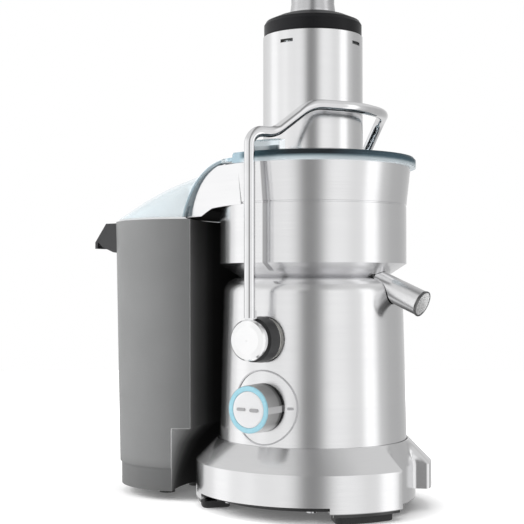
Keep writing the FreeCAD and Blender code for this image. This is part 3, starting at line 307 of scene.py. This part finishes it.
def surround_steel():
    """The bowl's brushed steel. A dark stripe is painted along the seam where each cheek begins, beside each leg of the
    locking arm, painted shadow and dark reflection of the arm; the underside of the duct's floor is painted dark,
    painted shade.
    """
    m, t, b = shader("surround_brushed")
    c = t.coords()
    x, y, z = split(t, c)
    dx = t.math("SUBTRACT", x, AX)
    radius = t.math("SQRT", t.math("ADD", t.math("MULTIPLY", dx, dx), t.math("MULTIPLY", y, y)))
    fine = t.noise(t.scaled(c, 5.0, 5.0, 3600.0), 1.0, 4.0, 0.6)
    broad = t.noise(t.scaled(c, 14.0, 14.0, 60.0), 1.0, 2.0, 0.5)
    tone = t.math("ADD", t.math("MULTIPLY", fine, 0.7), t.math("MULTIPLY", broad, 0.3))
    steel = t.ramp(tone, ((0.30, (0.80, 0.80, 0.81)), (0.70, (0.85, 0.85, 0.855))))
    inside = t.math("SUBTRACT", t.math("ADD", t.math("MULTIPLY", t.math("ADD", dx, 0.098), 0.3333), 0.0492), t.math("ABSOLUTE", y))
    # Painted shade: the underside of the duct's floor, inside the cheeks, is painted near black.
    under = t.math("MULTIPLY", t.range(inside, 0.0, 0.0006, 0.0, 1.0), t.range(radius, 0.0798, 0.0803, 0.0, 1.0))
    under = t.math("MULTIPLY", under, t.range(z, 0.2528, 0.2532, 1.0, 0.0))
    # Painted shadow: a dark stripe is painted on the bowl along the seam just beside each leg of the locking arm, for
    # the arm's shadow and dark reflection there.
    seam_arm_shadow = t.math("MULTIPLY", between(t, dx, 0.0006, 0.0052, 0.0008), t.range(t.math("ABSOLUTE", y), 0.068, 0.070, 0.0, 1.0))
    seam_arm_shadow = t.math("MULTIPLY", seam_arm_shadow, t.range(z, 0.1950, 0.1990, 0.0, 0.72))
    steel = t.mix(seam_arm_shadow, steel, (0.22, 0.22, 0.225))
    t.link(t.mix(under, steel, (0.010, 0.010, 0.010)), b.inputs["Base Color"])
    t.link(t.math("ADD", t.range(tone, 0.3, 0.7, 0.23, 0.15), t.math("MULTIPLY", under, 0.4)), b.inputs["Roughness"])
    b.inputs["Metallic"].default_value = 1.0
    t.link(t.bump(fine, 0.02, 0.0004), b.inputs["Normal"])
    return m


def plinth_metal():
    """Satin base, painted near black below 8.3 mm: painted shade in the returns under its lifted edge, and on the legs
    the black of the feet.
    """
    m, t, b = shader("base_satin")
    c = t.coords()
    x, y, z = split(t, c)
    fine = t.noise(t.scaled(c, 60.0, 60.0, 2600.0), 1.0, 4.0, 0.6)
    steel = t.ramp(fine, ((0.30, (0.80, 0.80, 0.81)), (0.70, (0.83, 0.83, 0.835))))
    # Painted near black below 8.3 mm: painted shade under the lifted edge, and the black of the feet on the legs.
    edge = t.range(z, 0.0093, 0.0083, 0.0, 0.95)
    t.link(t.mix(edge, steel, (0.03, 0.03, 0.03)), b.inputs["Base Color"])
    t.link(t.range(fine, 0.3, 0.7, 0.22, 0.16), b.inputs["Roughness"])
    b.inputs["Metallic"].default_value = 1.0
    t.link(t.bump(fine, 0.010, 0.0004), b.inputs["Normal"])
    return m


def spout_steel():
    """Brushed tube. Its inside is painted pale and not metallic, painted light for the bright inside of its mouth; it
    is painted darker underneath, painted shade, and darker round the edge of its mouth.
    """
    m, t, b = shader("spout_brushed")
    c = t.coords()
    x, y, z = split(t, c)
    px, pz = t.math("SUBTRACT", x, AX + 0.062), t.math("SUBTRACT", z, 0.1886)
    ca, sa = math.cos(math.radians(23.6)), math.sin(math.radians(23.6))
    run = t.math("SUBTRACT", t.math("MULTIPLY", px, ca), t.math("MULTIPLY", pz, sa))
    off = t.math("ADD", t.math("MULTIPLY", px, sa), t.math("MULTIPLY", pz, ca))
    radius = t.math("SQRT", t.math("ADD", t.math("MULTIPLY", off, off), t.math("MULTIPLY", y, y)))
    fine = t.noise(t.scaled(c, 900.0, 60.0, 900.0), 1.0, 3.0, 0.6)
    steel = t.ramp(fine, ((0.30, (0.80, 0.80, 0.81)), (0.70, (0.86, 0.86, 0.865))))
    # Painted light: the inside of the tube is painted pale and not metallic, for the bright inside of its mouth.
    painted_pale_inside = t.math("MULTIPLY", t.range(radius, 0.0097, 0.0100, 1.0, 0.0), t.range(run, 0.0449, 0.0452, 1.0, 0.0))
    edge = t.range(run, 0.0426, 0.0434, 0.0, 0.9)
    # Painted shade: the underside of the tube is painted dark, for the shade against the housing.
    painted_shade_below = t.range(off, -0.0048, -0.0082, 0.0, 0.9, smooth=True)
    col = t.mix(painted_shade_below, steel, (0.04, 0.04, 0.04))
    col = t.mix(painted_pale_inside, col, (0.80, 0.80, 0.80))
    t.link(t.mix(t.math("MULTIPLY", edge, t.range(radius, 0.0097, 0.0100, 0.0, 1.0)), col, (0.10, 0.10, 0.10)), b.inputs["Base Color"])
    t.link(t.range(painted_pale_inside, 0.0, 1.0, 1.0, 0.0), b.inputs["Metallic"])
    t.link(t.range(fine, 0.3, 0.7, 0.24, 0.17), b.inputs["Roughness"])
    return m


def knob_plastic():
    """Grey knob. Its side is painted darker towards the panel, painted shade, and its lower part is painted paler,
    painted reflection; a paler mark runs along it at the pointer.
    """
    m, t, b = shader("knob_grey")
    c = t.coords()
    x, y, z = split(t, c)
    fine = t.noise(c, 1500.0, 2.0, 0.5)
    # Painted shade: the side is painted darker towards the panel behind the knob.
    depth = t.range(y, KNOB_BACK, KNOB_FRONT, 0.0, 1.0)
    tone = t.math("ADD", depth, t.math("MULTIPLY", t.math("SUBTRACT", fine, 0.5), 0.12))
    side = t.ramp(tone, ((0.0, 0.035), (0.12, 0.05), (0.24, 0.20), (0.9, 0.27)))
    mark = t.math("MULTIPLY", between(t, t.math("SUBTRACT", z, 0.088), -0.0026, 0.0026, 0.0004), t.range(x, AX + 0.004, AX + 0.006, 0.0, 1.0))
    # Painted reflection: the lower part of the knob is painted paler.
    side = t.mix(t.range(z, 0.077, 0.070, 0.0, 0.75), side, (0.62, 0.62, 0.625))
    t.link(t.mix(mark, side, (0.42, 0.42, 0.425)), b.inputs["Base Color"])
    t.link(t.range(fine, 0.3, 0.7, 0.42, 0.32), b.inputs["Roughness"])
    t.link(t.bump(fine, 0.06, 0.0003), b.inputs["Normal"])
    return m


def lit_ring():
    """Translucent ring lit from behind."""
    m, t, b = shader("dial_blue")
    c = t.coords()
    slow = t.noise(c, 160.0, 2.0, 0.5)
    col = t.ramp(slow, ((0.30, (0.195, 0.375, 0.445)), (0.70, (0.23, 0.415, 0.48))))
    t.link(col, b.inputs["Base Color"])
    t.link(col, b.inputs["Emission Color"])
    b.inputs["Emission Strength"].default_value = 0.05
    t.link(t.range(slow, 0.3, 0.7, 0.32, 0.24), b.inputs["Roughness"])
    return m


KNOB_FRONT, KNOB_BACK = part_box("dial_knob")[0][1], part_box("dial_knob")[1][1]
MAT = {
    "brushed_steel": brushed("steel_brushed", (0.85, 0.85, 0.855), (0.80, 0.80, 0.81), 0.19, lines=3600.0, along=5.0, bump=0.02),
    "base_metal": brushed("base_satin", (0.83, 0.83, 0.835), (0.80, 0.80, 0.81), 0.19, lines=2600.0, along=60.0, bump=0.010),
    "rubber_black": moulded("rubber_black", (0.022, 0.022, 0.023), (0.012, 0.012, 0.012), 0.62, 700.0, 0.15),
    "black_plastic": moulded("plastic_black", (0.020, 0.020, 0.021), (0.010, 0.010, 0.011), 0.36, 1100.0, 0.06),
    "knob_grey": knob_plastic(),
    "container_grey": container_plastic(),
    "lip_black": moulded("lip_black", (0.026, 0.026, 0.027), (0.017, 0.017, 0.018), 0.40, 1200.0, 0.08),
    "clear_blue": cover_plastic(),
    "clear_tube": clear("tube_clear", (0.90, 0.95, 0.97), (0.86, 0.92, 0.95), 0.04),
    "chrome": polished("chrome_plate", (0.88, 0.88, 0.89), (0.80, 0.80, 0.81), 0.07),
    "dial_silver": moulded("dial_silver", (0.52, 0.52, 0.527), (0.47, 0.47, 0.477), 0.30, 1600.0, 0.03),
    "dial_blue": lit_ring(),
    "machined_steel": brushed("steel_machined", (0.66, 0.66, 0.67), (0.54, 0.54, 0.55), 0.24, lines=2200.0),
    "lamination": brushed("lamination", (0.34, 0.34, 0.36), (0.22, 0.22, 0.24), 0.42, lines=2600.0, bump=0.3),
    "copper": brushed("copper_wire", (0.72, 0.38, 0.17), (0.48, 0.22, 0.09), 0.30, lines=1500.0, bump=0.5),
    "carbon": moulded("carbon", (0.05, 0.05, 0.05), (0.03, 0.03, 0.03), 0.55, 900.0, 0.1),
    "board_green": moulded("board_green", (0.04, 0.22, 0.10), (0.02, 0.15, 0.07), 0.40, 500.0, 0.05),
    "bowl_grey": moulded("bowl_grey", (0.44, 0.45, 0.47), (0.38, 0.39, 0.41), 0.25, 1300.0, 0.03),
    "nylon": moulded("nylon", (0.84, 0.83, 0.79), (0.76, 0.75, 0.71), 0.45, 900.0, 0.05),
    "engraved": moulded("engraved", (0.40, 0.40, 0.41), (0.30, 0.30, 0.31), 0.45, 1300.0, 0.05),
}
SLOT = {s["node"]: s["material_slot"] for s in RECORD["subparts"]}
for name, obj in N.items():
    obj.data.materials.clear()
    obj.data.materials.append(MAT[SLOT[name]])

N["bowl_surround"].data.materials[0] = surround_steel()
N["base_plinth"].data.materials[0] = plinth_metal()
N["juice_spout"].data.materials[0] = spout_steel()
cap_metal = polished("cap_bright", (0.97, 0.97, 0.97), (0.93, 0.93, 0.935), 0.10)
N["pivot_caps"].data.materials[0] = cap_metal
N["pusher_collar"].data.materials[0] = moulded("collar_black", (0.009, 0.009, 0.010), (0.005, 0.005, 0.006), 0.34, 1100.0, 0.05, spec=0.2)
N["pusher_grip"].data.materials[0] = brushed("grip_brushed", (0.66, 0.66, 0.67), (0.58, 0.58, 0.59), 0.22, lines=3600.0, along=5.0, bump=0.02)



def drilled_steel():
    """Thin steel drilled all over in staggered rows, for the basket."""
    m, t, b = shader("basket_drilled")
    c = t.coords()
    x, y, z = split(t, c)
    turn = t.math("ARCTAN2", y, t.math("SUBTRACT", x, AX))
    u = t.math("SINE", t.math("MULTIPLY", turn, 90.0))
    v = t.math("SINE", t.math("MULTIPLY", z, 1900.0))
    hole = t.range(t.math("MULTIPLY", u, v), 0.42, 0.52, 0.0, 1.0)
    fine = t.noise(t.scaled(c, 40.0, 40.0, 1800.0), 1.0, 3.0, 0.6)
    steel = t.ramp(fine, ((0.3, (0.62, 0.62, 0.63)), (0.7, (0.74, 0.74, 0.75))))
    t.link(t.mix(hole, steel, (0.03, 0.03, 0.03)), b.inputs["Base Color"])
    t.link(t.range(fine, 0.3, 0.7, 0.34, 0.24), b.inputs["Roughness"])
    b.inputs["Metallic"].default_value = 1.0
    t.link(t.bump(t.math("SUBTRACT", 1.0, hole), 0.4, 0.0006), b.inputs["Normal"])
    return m


N["filter_basket"].data.materials[0] = drilled_steel()


# ------------------------------------------------------------------ small modelled details
def solid(name, bm_, mat, body, slot, bevel=0.0):
    me_ = bpy.data.meshes.new(name)
    bmesh.ops.recalc_face_normals(bm_, faces=bm_.faces)
    bm_.to_mesh(me_)
    bm_.free()
    o = bpy.data.objects.new(name, me_)
    scene.collection.objects.link(o)
    me_.materials.append(mat)
    if bevel:
        mod = o.modifiers.new("edge", "BEVEL")
        mod.width = bevel
        mod.segments = 2
        mod.limit_method = "ANGLE"
        mod.angle_limit = math.radians(40.0)
    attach(o, body)
    return o


def bar(bm_, x0, x1, z, half, skin, rise_):
    """A bar with round ends that follows the front of a surface; skin(x, z) gives that surface's Y."""
    n = 9
    ring = []
    for i in range(n + 1):
        a = -math.pi / 2 + math.pi * i / n
        ring.append((x1 - half + half * math.cos(a), z + half * math.sin(a)))
    for i in range(n + 1):
        a = math.pi / 2 + math.pi * i / n
        ring.append((x0 + half + half * math.cos(a), z + half * math.sin(a)))
    low = [bm_.verts.new((px, skin(px, pz) + 0.0002, pz)) for px, pz in ring]
    high = [bm_.verts.new((px, skin(px, pz) - rise_, pz)) for px, pz in ring]
    bm_.faces.new(low)
    bm_.faces.new(list(reversed(high)))
    for i in range(len(ring)):
        j = (i + 1) % len(ring)
        bm_.faces.new((low[i], low[j], high[j], high[i]))


DIAL_Z = 0.088
FACE_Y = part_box("dial_face")[0][1]


def face_y(px, pz):
    r_ = math.hypot(px - AX, pz - DIAL_Z)
    return FACE_Y + 0.0003 * min(r_ / 0.0126, 1.0)


bm = bmesh.new()
bar(bm, AX - 0.0105, AX - 0.0022, DIAL_Z, 0.0012, face_y, 0.0005)
bar(bm, AX + 0.0016, AX + 0.0100, DIAL_Z - 0.0003, 0.0014, face_y, 0.0005)
mark_grey = moulded("dial_mark", (0.26, 0.26, 0.265), (0.22, 0.22, 0.225), 0.4, 1500.0, 0.04)
solid("dial_pointer", bm, mark_grey, "dial", "knob_grey", 0.0001)

housing = N["motor_housing"]


def housing_y(px, pz):
    hit, place, normal, index = housing.ray_cast(Vector((px, -0.2, pz)), Vector((0.0, 1.0, 0.0)))
    return place.y if hit else -0.075


bm = bmesh.new()
bar(bm, AX + 0.0215, AX + 0.0268, DIAL_Z, 0.0011, housing_y, 0.0004)
solid("dial_index", bm, MAT["engraved"], "machine", "engraved", 0.0001)

# ------------------------------------------------------------------ floor, light and camera
bm = bmesh.new()
bmesh.ops.create_circle(bm, cap_ends=True, segments=96, radius=1.6)
me = bpy.data.meshes.new("floor")
bm.to_mesh(me)
bm.free()
floor = bpy.data.objects.new("floor", me)
scene.collection.objects.link(floor)
m, t, b = shader("floor_pale")
c = t.coords()
t.link(t.ramp(t.noise(c, 5.0, 2.0, 0.5), ((0.3, 0.90), (0.7, 0.93))), b.inputs["Base Color"])
b.inputs["Roughness"].default_value = 0.7
b.inputs["Emission Color"].default_value = (1.0, 1.0, 1.0, 1.0)
fx, fy, fz = split(t, c)


def away(cx, edge_):
    """Distance over the floor from a round footprint."""
    ex = t.math("SUBTRACT", fx, cx)
    return t.math("SUBTRACT", t.math("SQRT", t.math("ADD", t.math("MULTIPLY", ex, ex), t.math("MULTIPLY", fy, fy))), edge_)


# Painted light: the floor glows, faintly at the edge of the base's and the container's footprints and fully a few
# centimetres out, so it reads white beyond their shadows.
far = t.math("MINIMUM", away(AX, 0.088), away(-0.093, 0.070))
t.link(t.range(far, -0.008, 0.060, 0.10, 0.85, smooth=True), b.inputs["Emission Strength"])
me.materials.append(m)
floor.visible_glossy = False

world = bpy.data.worlds.new("studio")
scene.world = world
world.use_nodes = True
t = Tree(world.node_tree)
out = t.add("ShaderNodeOutputWorld")
direction = t.add("ShaderNodeTexCoord").outputs["Generated"]
u = t.vec("DOT_PRODUCT", direction, tuple(RIGHT))
v = t.vec("DOT_PRODUCT", direction, tuple(-FORWARD))
az = t.math("DIVIDE", t.math("ARCTAN2", u, v), 2.0 * math.pi)
az = t.math("ADD", az, 0.5)


def at(deg):
    return (deg + 180.0) / 360.0


studio = t.ramp(az, (
    (at(-180), 0.72), (at(-140), 0.78), (at(-116), 0.90), (at(-107), 1.16), (at(-93), 1.16), (at(-86), 1.0), (at(-80), 0.96), (at(-64), 1.04), (at(-57), 0.94), (at(-42), 0.92), (at(-30), 0.97), (at(-22), 0.85),
    (at(-16), 0.58), (at(-11), 0.32), (at(-6), 0.26), (at(0), 0.28), (at(6), 0.36), (at(11), 0.56), (at(16), 0.84),
    (at(24), 1.0), (at(38), 0.97), (at(50), 0.84), (at(62), 0.85), (at(68), 1.3), (at(81), 1.3), (at(89), 0.68),
    (at(108), 0.50), (at(130), 0.48), (at(150), 0.56), (at(165), 0.72), (at(180), 0.72)))
rise = t.add("ShaderNodeSeparateXYZ")
t.link(direction, rise.inputs[0])
across = t.math("MULTIPLY_ADD", u, 0.5, 0.5)
above = t.ramp(across, tuple(((k + 1.0) / 2.0, g) for k, g in (
    (-1.0, 0.76), (-0.31, 0.74), (-0.25, 0.69), (-0.18, 0.52), (-0.12, 0.38), (-0.05, 0.25), (0.03, 0.28), (0.10, 0.40),
    (0.17, 0.46), (0.23, 0.55), (0.34, 0.63), (0.42, 0.71), (1.0, 0.74))))
studio = t.mix(t.range(rise.outputs["Z"], 0.30, 0.62, 0.0, 1.0, smooth=True), studio, above)
bright = t.add("ShaderNodeBackground")
t.link(studio, bright.inputs["Color"])
path = t.add("ShaderNodeLightPath")
t.link(t.range(path.outputs["Is Diffuse Ray"], 0.0, 1.0, 1.0, 0.70), bright.inputs["Strength"])
white = t.add("ShaderNodeBackground")
white.inputs["Color"].default_value = (1, 1, 1, 1)
white.inputs["Strength"].default_value = 1.0
choose = t.add("ShaderNodeMixShader")
t.link(path.outputs["Is Camera Ray"], choose.inputs["Fac"])
t.link(bright.outputs[0], choose.inputs[1])
t.link(white.outputs[0], choose.inputs[2])
t.link(choose.outputs[0], out.inputs["Surface"])

top = bpy.data.lights.new("overhead", "AREA")
top.shape = "DISK"
top.size = 1.4
top.energy = 14.0
top_o = bpy.data.objects.new("overhead", top)
top_o.location = (0.0, -0.1, 1.7)
top_o.visible_glossy = False
scene.collection.objects.link(top_o)

key = bpy.data.lights.new("key", "AREA")
key.shape = "SQUARE"
key.size = 1.0
key.energy = 17.0
key_o = bpy.data.objects.new("key", key)
away = (RIGHT * -0.985 - FORWARD * 0.174).normalized() * math.cos(math.radians(25.0)) + Vector((0, 0, math.sin(math.radians(25.0))))
key_o.location = Vector((0.0, 0.0, 0.2)) + away * 1.3
key_o.rotation_euler = (-away).to_track_quat("-Z", "Y").to_euler()
key_o.visible_glossy = False
key_o.visible_camera = False
scene.collection.objects.link(key_o)

cam_d = bpy.data.cameras.new("camera")
cam = bpy.data.objects.new("camera", cam_d)
scene.collection.objects.link(cam)
cam_d.sensor_width = 36.0
cam_d.lens = 1200.0 / 524.0 * 36.0
cam_d.clip_start = 0.01
cam.location = Vector((AX, 0.0, 0.186)) - FORWARD * 1.028
yaw, pitch = math.atan(51.0 / 1200.0), math.atan(23.0 / 1200.0)
look = FORWARD * math.cos(yaw) - RIGHT * math.sin(yaw)
look = look * math.cos(pitch) + Vector((0, 0, 1)) * math.sin(pitch)
cam.rotation_euler = look.to_track_quat("-Z", "Y").to_euler()
scene.camera = cam

scene.view_settings.view_transform = "Standard"
scene.view_settings.look = "None"
